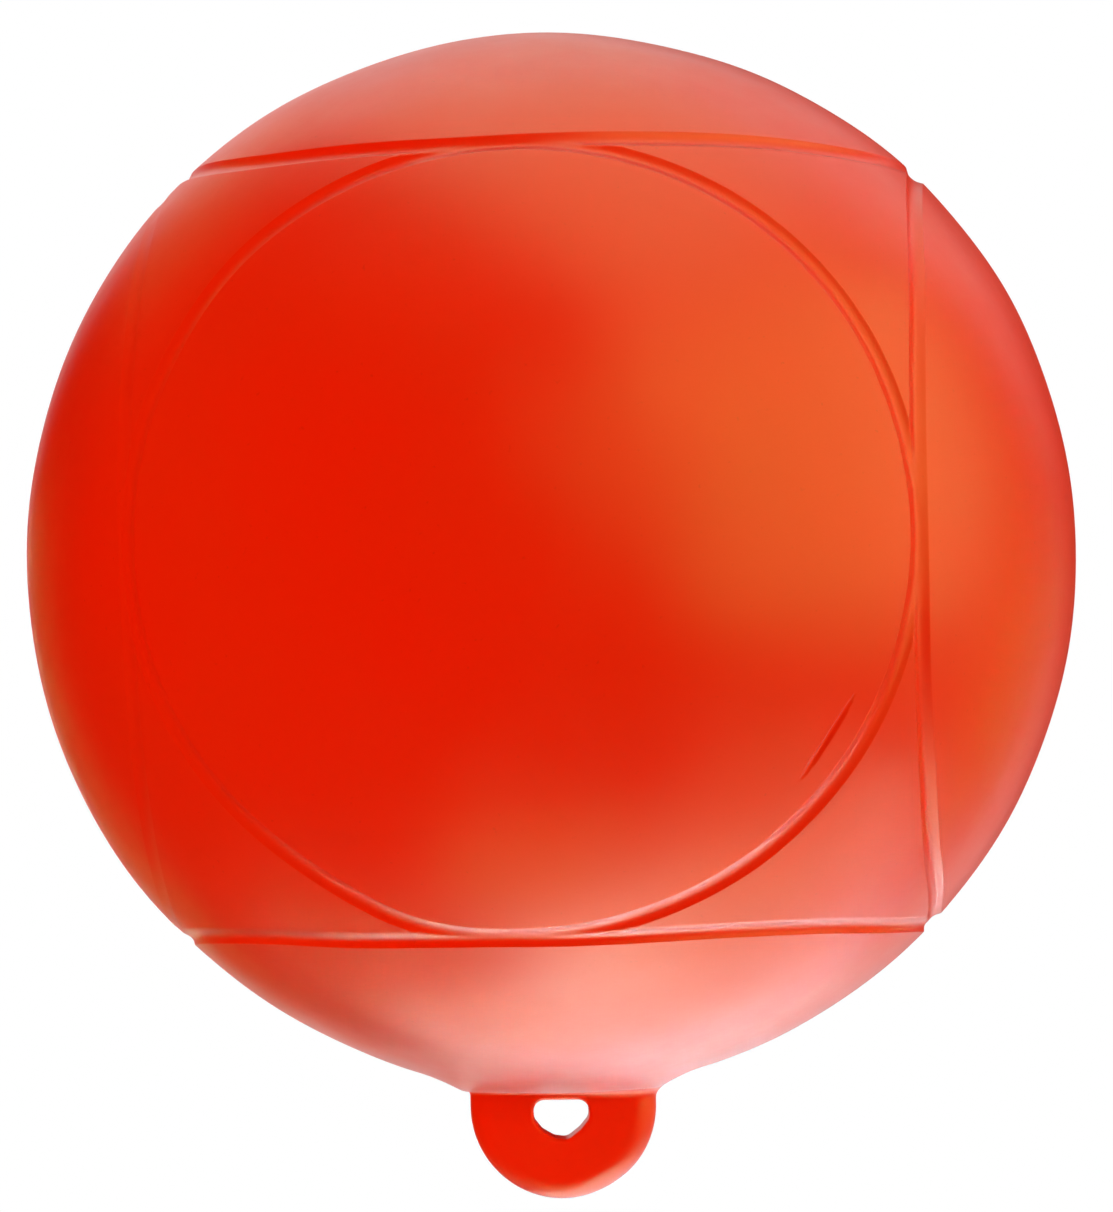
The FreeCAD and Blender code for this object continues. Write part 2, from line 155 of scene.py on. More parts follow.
# The valve's bore and socket, in the middle of the back: radius and height of each row of points.
# The lip's heights are counted down from the skin.
VALVE_LOOP = 8.0                # radius where the bore's own rows take over from the skin's
VALVE_STEPS = 96
VALVE_MARGIN = 1.5
LIP = [(7.2, 0.0), (6.4, 0.03), (5.95, 0.12), (5.62, 0.32), (5.42, 0.6), (5.32, 0.95)]
BORE = [(5.3, 113.6), (5.3, 113.1), (5.12, 112.92), (3.9, 112.9), (3.6, 112.8), (3.5, 112.5)]
SOCKET = [(3.5, 108.0), (3.5, 103.4), (3.9, 103.0), (7.1, 103.0), (7.38, 103.12), (7.5, 103.4)]
ROOT = [(7.5, 107.0), (7.5, 111.2), (7.75, 111.85), (8.4, 112.2)]
ROOT_REACH = 9.4                # radius where the round inside begins

# The valve, from the closed end of its passage round its head to the tip of its bulb.
VALVE_PROFILE = [
    (0.9, 102.5), (0.9, 113.2), (1.0, 113.6), (1.3, 113.95), (1.75, 114.12), (2.3, 114.16), (2.55, 114.22),
    (2.75, 114.4), (3.0, 114.48), (4.2, 114.44), (4.75, 114.36), (5.05, 114.16), (5.18, 113.85), (5.2, 113.5),
    (5.2, 113.05), (5.1, 112.93), (4.95, 112.9), (3.55, 112.9), (3.44, 112.8), (3.4, 112.6), (3.4, 108.0),
    (3.4, 103.1), (3.5, 102.92), (3.75, 102.9), (4.35, 102.9), (4.53, 102.82), (4.6, 102.65), (4.6, 102.2),
    (4.45, 101.7), (3.9, 100.6), (3.2, 99.5), (2.85, 99.05), (2.4, 98.9), (1.2, 98.9),
]
VALVE_TURN = 72

# The materials: two colours of the mottle, the range of roughness, and the other colours.
VINYL_REDS = ((0.82, 0.009, 0.0), (0.78, 0.012, 0.0003))
VINYL_SPECK = (0.62, 0.008, 0.0)
VINYL_DULL = (0.33, 0.41)
VINYL_SHEEN = (1.0, 0.75, 0.27, 1.0)    # tint of what it mirrors
VINYL_DEPTH = (1.0, 0.12, 0.05)         # how deep each colour of light goes into it, beside red
RUBBER_BLACKS = ((0.014, 0.013, 0.013), (0.028, 0.026, 0.025))
RUBBER_DULL = (0.5, 0.68)
CLOTH_BLACKS = ((0.003, 0.003, 0.003), (0.006, 0.006, 0.006))


def unit(vectors):
    """Vectors scaled to length one."""
    vectors = np.asarray(vectors, float)
    return vectors / np.linalg.norm(vectors, axis=-1, keepdims=True)


def smooth_step(low, high, x):
    """Rise from 0 at low to 1 at high."""
    t = np.clip((x - low) / (high - low), 0, 1)
    return t * t * (3 - 2 * t)


def soft_max(a, b, width):
    """The larger of two values, with the change from one to the other rounded."""
    return (a + b + np.sqrt((a - b) ** 2 + width ** 2)) / 2


def soft_min(a, b, width):
    """The smaller of two values, rounded the same way."""
    return -soft_max(-a, -b, width)


def frame_of(axis):
    """Two directions square to an axis."""
    axis = np.asarray(axis, float)
    first = np.roll(axis, 1)
    return first, np.cross(axis, first)


def wave_table():
    """Directions, phases and pitches of the skin's unevenness."""
    draw = np.random.default_rng(WAVE_SEED)
    along = unit(draw.normal(size=(WAVES, 3)))
    phase = draw.uniform(0, 2 * math.pi, WAVES)
    pitch = 2 * math.pi / draw.uniform(*WAVE_LENGTHS, WAVES)
    return along * pitch[:, None], phase


WAVE_NUMBERS, WAVE_PHASES = wave_table()


def ring_stray(d, axis):
    """How far a ring's centre line strays outwards from its circle, near each direction."""
    total = np.zeros(len(d))
    for ring, place, amount, reach in RING_STRAYS:
        if ring == axis:
            total += amount * np.exp(-((RADIUS / reach * (d - unit(place))) ** 2).sum(1))
    return total


def ring_distance(d, axis):
    """How far each direction lies outside a ring's centre line, measured along the skin."""
    lean = np.arccos(np.clip(d @ np.asarray(axis, float), -1, 1))
    return RADIUS * (lean - RING_ANGLE) - ring_stray(d, axis)


def groove_depth(d):
    """Depth of the ring grooves. Where two rings nearly touch they run into one notch."""
    total = np.zeros(len(d))
    for axis, fade in RINGS:
        across = np.clip(ring_distance(d, axis) / GROOVE_HALF, -1, 1)
        across = across + GROOVE_LEANS.get(axis, 0) * (1 - across ** 2)
        strength = 1 - fade * smooth_step(*RING_FADE, -d[:, 0])
        total += (strength * np.maximum(1 - across ** 2, 0) ** GROOVE_ROUND) ** NOTCH_POWER
    return GROOVE_DEPTH * total ** (1 / NOTCH_POWER)


def crease_frame():
    """Start, direction along, direction across and length of the crease."""
    start, end = np.array(CREASE_ENDS)
    along = unit(end - start)
    across = unit(np.cross(unit(start + end), along))
    return start, along, across, np.linalg.norm(end - start)


def crease_depth(d):
    """A shallow pinch, pointed at both ends."""
    start, along, across, length = crease_frame()
    reach = RADIUS * d - start
    share = np.clip(reach @ along / length, 0, 1)
    width = CREASE_HALF * np.sqrt(np.maximum(4 * share * (1 - share), CREASE_TIP))
    side = np.abs(reach @ across) / width
    near = (d @ unit(start) > CREASE_SIDE) & (side < 1)
    depth = CREASE_DEPTH * (width / CREASE_HALF) ** 2 * np.maximum(1 - side ** 2, 0) ** CREASE_ROUND
    return np.where(near, depth, 0)


def skirt(d):
    """How far the ball is drawn down towards the lug."""
    x = np.abs(RADIUS * d[:, 0])
    y = np.abs(RADIUS * d[:, 1])
    corner = SKIRT_REACH * 2 / 3
    middle = SKIRT_MIDDLE + SKIRT_CORNER * (x / corner) ** 2
    flank = SKIRT_CURVE * np.maximum(SKIRT_REACH - x, 0) ** 2
    drawn = np.maximum(soft_min(middle, flank, SKIRT_BLEND) + SKIRT_LIFT, 0)
    drawn = np.where(x < SKIRT_REACH, drawn, 0)
    return np.where(d[:, 2] < 0, drawn * (1 - smooth_step(*SKIRT_DEPTH, y)), 0)


def skin_radius(d):
    """Distance from the ball's centre to its skin, in each direction."""
    tail = RADIUS * TAIL_DROP + TAIL_DROP ** 2 / 2
    tail /= RADIUS - math.cos(TAIL_ANGLE) * (RADIUS + TAIL_DROP)
    lean = np.minimum(np.arccos(np.clip(-d[:, 2], -1, 1)), TAIL_ANGLE)
    swing = TAIL_ANGLE - lean
    radius = np.sqrt((RADIUS + tail) ** 2 - (tail * np.sin(swing)) ** 2) - tail * np.cos(swing)
    radius += 2 * SWELL * (1 - (d ** 4).sum(1))
    radius += WAVE_HEIGHT * np.sin(RADIUS * d @ WAVE_NUMBERS.T + WAVE_PHASES).sum(1)
    return radius + skirt(d) - groove_depth(d) - crease_depth(d)


def eye_distance(x, z):
    """Signed distance to the rope eye's outline: a polygon with rounded corners."""
    corners = np.array(EYE_CORNERS)
    inside = np.full(x.shape, -np.inf)
    nearest = np.full(x.shape, np.inf)
    for start, end in zip(corners, np.roll(corners, -1, axis=0)):
        edge = end - start
        px, pz = x - start[0], z - EYE_CENTRE - start[1]
        share = np.clip((px * edge[0] + pz * edge[1]) / (edge @ edge), 0, 1)
        nearest = np.minimum(nearest, np.hypot(px - share * edge[0], pz - share * edge[1]))
        inside = np.maximum(inside, pz * edge[0] - px * edge[1])
    return np.where(inside < 0, -nearest, nearest) - EYE_ROUND


def lug_flat(p):
    """Signed distance to the plane of the flat on the lug's rim."""
    out, ahead = math.sin(LUG_FLAT_TILT), math.cos(LUG_FLAT_TILT)
    faces = np.array([out * math.cos(LUG_FLAT_TURN), -ahead, out * math.sin(LUG_FLAT_TURN)])
    reach = LUG_RADIUS - LUG_RIM + LUG_RIM * out
    touch = np.array([
        reach * math.cos(LUG_FLAT_AT),
        LUG_RIM - LUG_HALF - LUG_RIM * ahead,
        LUG_CENTRE + reach * math.sin(LUG_FLAT_AT),
    ])
    return (p - touch) @ faces + LUG_FLAT_DEPTH


def lug_distance(p):
    """Signed distance to the lug, with its rounded rim and the rope eye through it."""
    x, y, z = p.T
    outline = np.hypot(x, np.minimum(z - LUG_CENTRE, 0)) - LUG_RADIUS
    side = outline + LUG_RIM
    face = np.abs(y) - LUG_HALF + LUG_RIM
    corner = np.hypot(np.maximum(side, 0), np.maximum(face, 0))
    body = np.minimum(np.maximum(side, face), 0) + corner - LUG_RIM
    deep = y + LUG_HALF
    hole = -eye_distance(x + EYE_SLANT[0] * deep, z + EYE_SLANT[1] * deep)
    edge = np.hypot(np.maximum(EYE_EDGE + body, 0), np.maximum(EYE_EDGE + hole, 0))
    pierced = np.minimum(np.maximum(body, hole), -EYE_EDGE) + edge
    return soft_max(pierced, lug_flat(p), LUG_FLAT_BLEND)


def outside_distance(p):
    """Roughly the signed distance from each point to the buoy's outer surface."""
    length = np.linalg.norm(p, axis=1)
    ball = length - skin_radius(p / length[:, None])
    lug = np.where(p[:, 2] < LUG_TOP, lug_distance(p), RADIUS)
    left, right = LUG_FILLETS
    fillet = left + (right - left) * smooth_step(*LUG_FILLET_SPAN, p[:, 0])
    hollow = np.hypot(np.maximum(fillet - ball, 0), np.maximum(fillet - lug, 0))
    return np.maximum(np.minimum(ball, lug), fillet) - hollow


def gradient(p, step=0.02):
    """Slope of the outside distance at each point."""
    slope = np.empty_like(p)
    for axis in range(3):
        shift = np.zeros(3)
        shift[axis] = step
        slope[:, axis] = (outside_distance(p + shift) - outside_distance(p - shift)) / (2 * step)
    return slope


def onto_surface(p, rounds=3):
    """Points moved onto the outer surface."""
    for _ in range(rounds):
        slope = gradient(p)
        steepness = np.maximum((slope ** 2).sum(1), LEAST_SLOPE)
        p = p - outside_distance(p)[:, None] * slope / steepness[:, None]
    return p


def surface_net(low, high, step):
    """Points and quads of the outer surface inside a box: one point to each cell that it crosses."""
    axes = [np.arange(a, b + step / 2, step) for a, b in zip(low, high)]
    shape = tuple(len(a) for a in axes)
    grid = np.stack(np.meshgrid(*axes, indexing="ij"), -1).reshape(-1, 3)
    field = outside_distance(grid).reshape(shape)
    solid = field < 0
    corners = [(i, j, k) for i in (0, 1) for j in (0, 1) for k in (0, 1)]
    cells = tuple(n - 1 for n in shape)

    def corner(values, at):
        return values[tuple(slice(a, a + n) for a, n in zip(at, cells))]

    count = sum(corner(solid, at).astype(int) for at in corners)
    mixed = (count > 0) & (count < 8)
    number = np.full(cells, -1)
    number[mixed] = np.arange(mixed.sum())
    total = np.zeros((*cells, 3))
    crossings = np.zeros(cells)
    for at in corners:
        for axis in range(3):
            if at[axis]:
                continue
            beyond = tuple(a + (n == axis) for n, a in enumerate(at))
            near, far = corner(field, at), corner(field, beyond)
            cross = (near < 0) != (far < 0)
            share = np.where(cross, near / np.where(cross, near - far, 1), 0)
            for n in range(3):
                total[..., n] += cross * (at[n] + (share if n == axis else 0))
            crossings += cross
    index = np.argwhere(mixed)
    points = np.array(low) + step * (index + total[mixed] / crossings[mixed][:, None])

    quads = []
    for axis in range(3):
        b, c = (axis + 1) % 3, (axis + 2) % 3
        near = solid[tuple(slice(0, -1) if n == axis else slice(1, -1) for n in range(3))]
        far = solid[tuple(slice(1, None) if n == axis else slice(1, -1) for n in range(3))]
        where = np.argwhere(near != far)
        leaves = near[tuple(where.T)]
        around = []
        for db, dc in ((0, 0), (1, 0), (1, 1), (0, 1)):
            cell = where.copy()
            cell[:, b] += db
            cell[:, c] += dc
            around.append(number[tuple(cell.T)])
        around = np.stack(around, 1)
        quads.append(np.where(leaves[:, None], around, around[:, ::-1]))
    return points, np.concatenate(quads)


def border_loop(faces):
    """Points round the open border of a set of faces, in order."""
    sides = np.concatenate([np.stack([faces[:, k], faces[:, (k + 1) % 4]], 1) for k in range(4)])
    known = set(map(tuple, sides))
    following = {a: b for a, b in known if (b, a) not in known}
    loop = [next(iter(sorted(following)))]
    while following[loop[-1]] != loop[0]:
        loop.append(following[loop[-1]])
    return loop


def relax(points, quads, fixed, rounds=4):
    """Even out a net: move each point towards the middle of its neighbours, then back onto the surface."""
    pairs = np.concatenate([quads[:, [k, (k + 1) % 4]] for k in range(4)])
    pairs = np.concatenate([pairs, pairs[:, ::-1]])
    for _ in range(rounds):
        total = np.zeros_like(points)
        np.add.at(total, pairs[:, 0], points[pairs[:, 1]])
        count = np.bincount(pairs[:, 0], minlength=len(points))[:, None]
        moved = onto_surface(points + (total / count - points) / 2, rounds=1)
        points = np.where(fixed[:, None], points, moved)
    return onto_surface(points)


def ring_points():
    """Directions along every ring's lines, each kept only where that ring is the nearest."""
    offsets = sorted({sign * line for line in RING_LINES for sign in (-1, 1)})
    turn = np.linspace(0, 2 * math.pi, RING_STEPS, endpoint=False)
    found = []
    for axis, _ in RINGS:
        pole = np.array(axis, float)
        first, second = frame_of(axis)
        circle = np.cos(turn)[:, None] * first + np.sin(turn)[:, None] * second
        stray = ring_stray(math.cos(RING_ANGLE) * pole + math.sin(RING_ANGLE) * circle, axis)
        others = [other for other, _ in RINGS if other != axis]
        for offset in offsets:
            angle = (RING_ANGLE + (offset + stray) / RADIUS)[:, None]
            d = np.cos(angle) * pole + np.sin(angle) * circle
            nearest = np.min([abs(ring_distance(d, other)) for other in others], axis=0)
            found.append(d[nearest > abs(offset) + RING_GAP])
    return np.concatenate(found)


def crease_points():
    """Directions along and beside the crease."""
    start, along, across, length = crease_frame()
    steps = np.arange(-2 * CREASE_STEP, length + CREASE_BEYOND, CREASE_STEP)
    offsets = sorted({sign * line for line in CREASE_LINES for sign in (-1, 1)})
    return unit(np.array([start + s * along + o * across for s in steps for o in offsets]))


def open_skin_points():
    """Directions evenly spread over the skin wherever no finer points are laid."""
    count = int(4 * math.pi * RADIUS ** 2 / (OPEN_SKIN_STEP ** 2 * math.sqrt(3) / 2))
    order = np.arange(count)
    z = 1 - 2 * (order + 0.5) / count
    turn = order * math.pi * (3 - math.sqrt(5))
    flat = np.sqrt(1 - z * z)
    d = np.stack([flat * np.cos(turn), flat * np.sin(turn), z], 1)
    clear = np.ones(count, bool)
    for axis, _ in RINGS:
        clear &= abs(ring_distance(d, axis)) > RING_LINES[-1] + RING_MARGIN
    x, y, _ = abs(skin_radius(d) * d.T)
    clear &= (d[:, 2] > 0) | (x > PATCH_HIGH[0] + PATCH_MARGIN) | (y > PATCH_HIGH[1] + PATCH_MARGIN)
    behind = (d[:, 1] > 0) & (np.hypot(d[:, 0], d[:, 2]) * RADIUS < VALVE_LOOP + VALVE_MARGIN)
    start, along, across, length = crease_frame()
    reach = RADIUS * d - start
    along_crease = np.clip(reach @ along, 0, length)
    beside = np.linalg.norm(reach - along_crease[:, None] * along, axis=1) < CREASE_MARGIN
    return d[clear & ~behind & ~beside]


def flatten(d):
    """Directions laid out on a plane, seen from the bottom of the ball."""
    return d[:, :2] / (1 + d[:, 2:3])


def inside_loop(points, loop):
    """Whether each point of the plane lies inside a closed loop of points."""
    crossings = np.zeros(len(points), int)
    for (ax, ay), (bx, by) in zip(loop, np.roll(loop, -1, axis=0)):
        between = (ay > points[:, 1]) != (by > points[:, 1])
        if between.any():
            crossings += between & (points[:, 0] < ax + (points[:, 1] - ay) * (bx - ax) / (by - ay))
    return crossings % 2 == 1


def skin_triangles(directions, patch_loop, valve_loop):
    """Triangles between the patch's border and the valve's circle, each given as a list of point numbers."""
    flat = flatten(directions)
    edges = [(a, b) for loop in (patch_loop, valve_loop) for a, b in zip(loop, loop[1:] + loop[:1])]
    made = delaunay_2d_cdt([Vector(p) for p in flat], edges, [], 0, JOIN_WITHIN, True)
    origin = [ids[0] for ids in made[3]]
    triangles = np.array([[origin[v] for v in face] for face in made[2]])
    for loop, keep_inside in ((patch_loop, True), (valve_loop, False)):
        own = np.isin(triangles, loop).all(1)
        inside = inside_loop(flat[triangles[own]].mean(1), flat[loop])
        keep = np.ones(len(triangles), bool)
        keep[own] = inside == keep_inside
        triangles = triangles[keep]
    return triangles


def lathe_rows(rows, steps):
    """Points turned about +Y, one row to each pair of radius and height."""
    turn = np.linspace(0, 2 * math.pi, steps, endpoint=False)
    return np.array([[(r * math.cos(t), y, r * math.sin(t)) for t in turn] for r, y in rows])


def lathe_quads(first, second):
    """Quads between two rows of point numbers."""
    return [(a, b, c, d) for a, d, b, c in zip(first, np.roll(first, -1), second, np.roll(second, -1))]


def inner_profile():
    """Radius and height of each row from the bore, past the socket, and round the inside to the front."""
    angles = np.linspace(math.asin(ROOT_REACH / INSIDE_RADIUS), math.pi, INSIDE_ROWS + 1)[:-1]
    inside = [(INSIDE_RADIUS * math.sin(a), INSIDE_RADIUS * math.cos(a)) for a in angles]
    return BORE + SOCKET + ROOT + inside


def build_skin():
    """Points, faces and outer normals of the whole hollow skin."""
    patch, quads = surface_net(PATCH_LOW, PATCH_HIGH, PATCH_STEP)
    loop = border_loop(quads)
    fixed = np.zeros(len(patch), bool)
    fixed[loop] = True
    patch = relax(onto_surface(patch), quads, fixed)

    turn = np.linspace(0, 2 * math.pi, VALVE_STEPS, endpoint=False)
    side = VALVE_LOOP / RADIUS
    height = np.full(VALVE_STEPS, math.sqrt(1 - side ** 2))
    circle = np.stack([side * np.cos(turn), height, side * np.sin(turn)], 1)
    rest = np.concatenate([ring_points(), crease_points(), open_skin_points()])
    directions = np.concatenate([unit(patch[loop]), circle, rest])
    loops = len(loop)
    triangles = skin_triangles(directions, list(range(loops)), list(range(loops, loops + VALVE_STEPS)))

    outer = directions[loops:]
    outer = outer * skin_radius(outer)[:, None]
    # Triangle corners counted from the patch's own points: its border first, then all the others.
    number = np.concatenate([loop, len(patch) + np.arange(len(outer))])
    triangles = number[triangles]
    points = [patch, outer]
    faces = [tuple(f) for f in quads] + [tuple(f) for f in triangles]

    behind = skin_radius(np.array([[0.0, 1.0, 0.0]]))[0]
    lip = [(r, math.sqrt(behind ** 2 - r * r) - sunk) for r, sunk in LIP]
    rows = lathe_rows(lip + inner_profile(), VALVE_STEPS)
    start = len(patch) + len(outer)
    above = len(patch) + np.arange(VALVE_STEPS)
    for k in range(len(rows)):
        below = start + k * VALVE_STEPS + np.arange(VALVE_STEPS)
        faces += lathe_quads(above, below)
        above = below
    points += [rows.reshape(-1, 3), np.array([[0.0, -INSIDE_RADIUS, 0.0]])]
    pole = start + len(rows) * VALVE_STEPS
    faces += [(a, b, pole) for b, a in zip(above, np.roll(above, -1))]
    return np.concatenate(points), faces, unit(gradient(np.concatenate(points[:2])))


def make_piece(name, points, faces, normals=None):
    """A smooth mesh object in the part's frame. Normals, if any, belong to the first points."""
    mesh = bpy.data.meshes.new(name)
    mesh.from_pydata((np.asarray(points) + CENTRE_UP) * MM, [], faces)
    mesh.polygons.foreach_set("use_smooth", np.ones(len(mesh.polygons), bool))
    mesh.update()
    if normals is not None:
        all_normals = np.zeros(len(mesh.vertices) * 3, np.float32)
        mesh.vertex_normals.foreach_get("vector", all_normals)
        all_normals = all_normals.reshape(-1, 3)
        all_normals[:len(normals)] = normals
        mesh.normals_split_custom_set_from_vertices([tuple(n) for n in all_normals.tolist()])
    piece = bpy.data.objects.new(name, mesh)
    bpy.context.scene.collection.objects.link(piece)
    return piece


def build_valve():
    """Points and faces of the valve, with a point in the middle of each closed end."""
    rows = lathe_rows(VALVE_PROFILE, VALVE_TURN)
    ends = [[0, VALVE_PROFILE[0][1], 0], [0, VALVE_PROFILE[-1][1], 0]]
    points = np.concatenate([rows.reshape(-1, 3), ends])
    faces = []
    for k in range(len(rows) - 1):
        above = k * VALVE_TURN + np.arange(VALVE_TURN)
        faces += lathe_quads(above + VALVE_TURN, above)
    first = np.arange(VALVE_TURN)
    last = (len(rows) - 1) * VALVE_TURN + first
    faces += [(b, a, len(points) - 2) for a, b in zip(first, np.roll(first, -1))]
    faces += [(a, b, len(points) - 1) for a, b in zip(last, np.roll(last, -1))]
    return points, faces


skin = make_piece("moulded_skin", *build_skin())
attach(skin, "root")
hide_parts("buoy_shell")

valve = make_piece("rubber_valve", *build_valve())
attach(valve, "root")
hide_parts("needle_valve")


class Nodes:
    """A material's node tree, with short calls to add and link nodes."""

    def __init__(self, name):
        self.material = bpy.data.materials.new(name)
        self.material.use_nodes = True
        self.tree = self.material.node_tree
        self.shader = self.tree.nodes["Principled BSDF"]

    def add(self, kind, **settings):
        node = self.tree.nodes.new(kind)
        for name, setting in settings.items():
            setattr(node, name, setting)
        return node

    def link(self, source, target):
        self.tree.links.new(source, target)

    def noise(self, place, scale, detail=3.0, roughness=0.5):
        """Noise of about one feature to 1/scale metres."""
        node = self.add("ShaderNodeTexNoise")
        node.inputs["Scale"].default_value = scale
        node.inputs["Detail"].default_value = detail
        node.inputs["Roughness"].default_value = roughness
        self.link(place, node.inputs["Vector"])
        return node.outputs["Fac"]

    def spread(self, source, low, high, out_low, out_high):
        """A value carried from one range to another."""
        node = self.add("ShaderNodeMapRange")
        limits = {"From Min": low, "From Max": high, "To Min": out_low, "To Max": out_high}
        for name, limit in limits.items():
            node.inputs[name].default_value = limit
        self.link(source, node.inputs["Value"])
        return node.outputs["Result"]

    def blend(self, share, first, second):
        """Mix two colours, each a tuple or a socket."""
        node = self.add("ShaderNodeMix", data_type="RGBA")
        self.link(share, node.inputs["Factor"])
        for name, colour in (("A", first), ("B", second)):
            socket = next(s for s in node.inputs if s.name == name and s.type == "RGBA")
            if isinstance(colour, tuple):
                socket.default_value = (*colour, 1)
            else:
                self.link(colour, socket)
        return next(s for s in node.outputs if s.type == "RGBA")

    def bump(self, height, strength, distance, below=None):
        """Bump of a given depth in metres, laid over another one."""
        node = self.add("ShaderNodeBump")
        node.inputs["Strength"].default_value = strength
        node.inputs["Distance"].default_value = distance
        self.link(height, node.inputs["Height"])
        if below is not None:
            self.link(below, node.inputs["Normal"])
        return node.outputs["Normal"]

    def set(self, **settings):
        """Set the shader's own sockets."""
        for name, setting in settings.items():
            self.shader.inputs[name.replace("_", " ")].default_value = setting


def vinyl_material():
    """Soft, semi-gloss orange-red vinyl with a faint mottle, fine grain and a few specks."""
    made = Nodes("soft_vinyl")
    place = made.add("ShaderNodeTexCoord").outputs["Object"]
    cloud = made.spread(made.noise(place, 22, 4), 0.3, 0.7, 0, 1)
    colour = made.blend(cloud, *VINYL_REDS)
    speck = made.spread(made.noise(place, 900, 2), 0.70, 0.78, 0, 0.5)
    colour = made.blend(speck, colour, VINYL_SPECK)
    made.link(colour, made.shader.inputs["Base Color"])
    dull = made.spread(made.noise(place, 75, 5, 0.6), 0.25, 0.75, *VINYL_DULL)
    made.link(dull, made.shader.inputs["Roughness"])
    peel = made.bump(made.noise(place, 260, 2), 0.5, 0.00004)
    grain = made.bump(made.noise(place, 1900, 2), 0.4, 0.00002, peel)
    made.link(grain, made.shader.inputs["Normal"])
    made.set(Specular_IOR_Level=0.75, Specular_Tint=VINYL_SHEEN, IOR=1.5)
    made.set(Subsurface_Weight=0.12, Subsurface_Radius=VINYL_DEPTH, Subsurface_Scale=0.002)
    return made.material


def rubber_material():
    """Matt black rubber with a faint random mottle, as of moulding dust, and a fine grain."""
    made = Nodes("valve_rubber")
    place = made.add("ShaderNodeTexCoord").outputs["Object"]
    cloud = made.spread(made.noise(place, 420, 4), 0.35, 0.7, 0, 1)
    colour = made.blend(cloud, *RUBBER_BLACKS)
    made.link(colour, made.shader.inputs["Base Color"])
    dull = made.spread(made.noise(place, 900, 3), 0.3, 0.7, *RUBBER_DULL)
    made.link(dull, made.shader.inputs["Roughness"])
    grain = made.bump(made.noise(place, 4200, 3), 0.4, 0.00003)
    made.link(grain, made.shader.inputs["Normal"])
    made.set(Specular_IOR_Level=0.45)
    return made.material


skin.data.materials.append(vinyl_material())
valve.data.materials.append(rubber_material())

# The camera, as the photograph was taken.
PHOTO = (1113, 1212)
BALL_AT = (551.75, 558.5)       # where the ball's centre shows, in the photograph's pixels
FOCAL = 5250.0                  # in the same pixels
DISTANCE = 1.157
AZIMUTH = math.radians(4.4)
ELEVATION = math.radians(-3.2)
ROLL = math.radians(-1.2)
SENSOR = 36.0
CLIP = (0.05, 50.0)

centre = Vector(CENTRE_UP) * MM


def direction(azimuth, elevation):
    """Unit vector from the ball's centre. Azimuth 0 is in front, and 90 degrees is at the right."""
    level = math.cos(elevation)
    return Vector((math.sin(azimuth) * level, -math.cos(azimuth) * level, math.sin(elevation)))


back = direction(AZIMUTH, ELEVATION)
camera = bpy.data.objects.new("camera", bpy.data.cameras.new("camera"))
bpy.context.scene.collection.objects.link(camera)
bpy.context.scene.camera = camera
camera.data.sensor_width = SENSOR
camera.data.lens = FOCAL * SENSOR / max(PHOTO)
camera.location = centre + DISTANCE * back
pitch = math.atan((BALL_AT[1] - PHOTO[1] / 2) / FOCAL)
yaw = math.atan((BALL_AT[0] - PHOTO[0] / 2) / FOCAL)
camera.rotation_mode = "QUATERNION"
camera.rotation_quaternion = (
    (-back).to_track_quat("-Z", "Y")
    @ Quaternion((0, 0, 1), ROLL)
    @ Quaternion((1, 0, 0), pitch)
    @ Quaternion((0, 1, 0), yaw)
)
camera.data.clip_start, camera.data.clip_end = CLIP

# The light. Lamps and cloths are placed in degrees to the right of the camera's side, and degrees
# up. Panels are what the skin mirrors: direction, distance, width and height for each unit of
# distance, radiance and colour.
PANELS = [
    ("right_panel", 62.9, 16.7, 1.25, 1.58, 1.14, 2.15, (1.0, 1.0, 0.6)),
    ("low_panel", 133.5, -61.7, 0.72, 1.46, 0.94, 2.6, (0.85, 0.85, 1.0)),
    ("under_panel", 81.0, -86.0, 0.62, 0.48, 0.38, 5.2, (0.65, 0.65, 1.0)),
    ("under_back_panel", 150.0, -80.0, 0.62, 0.5, 0.4, 1.15, (0.85, 0.85, 1.0)),
    ("top_panel", 125.6, 79.4, 1.2, 1.64, 0.98, 0.65, (1.0, 1.0, 0.75)),
    ("front_low_panel", 35.0, -75.0, 0.65, 0.5, 0.5, 0.85, (1.0, 1.0, 0.95)),
    ("front_under_panel", -12.0, -67.0, 0.65, 0.5, 0.42, 1.4, (1.0, 0.95, 0.55)),
    ("left_low_panel", -138.0, -64.0, 0.7, 0.7, 0.55, 1.1, (1.0, 1.0, 0.65)),
    ("back_low_panel", 155.0, -48.0, 0.8, 0.5, 0.4, 0.5, (0.9, 0.9, 1.0)),
    ("left_back_panel", -153.0, -12.0, 1.2, 0.45, 0.7, 0.32, (1.0, 0.9, 0.3)),
    ("left_rim_panel", -140.0, 37.0, 1.2, 0.5, 0.35, 0.38, (1.0, 0.85, 0.3)),
    ("right_low_panel", 72.0, -50.0, 0.75, 0.9, 0.65, 0.62, (1.0, 1.0, 0.7)),
    ("right_rim_panel", 120.0, -15.0, 1.2, 0.5, 0.6, 0.7, (1.0, 0.9, 0.25)),
    ("top_front_panel", 40.0, 62.0, 1.25, 0.8, 0.5, 0.23, (1.0, 1.0, 0.8)),
    ("front_panel", 14.0, 22.0, 1.25, 0.4, 0.4, 0.8, (1.0, 1.0, 0.6)),
    ("overhead_panel", 0.0, 85.0, 1.2, 0.9, 0.9, 0.38, (1.0, 1.0, 0.75)),
    ("right_back_panel", 110.0, 25.0, 1.25, 0.7, 0.9, 0.3, (1.0, 0.95, 0.35)),
]
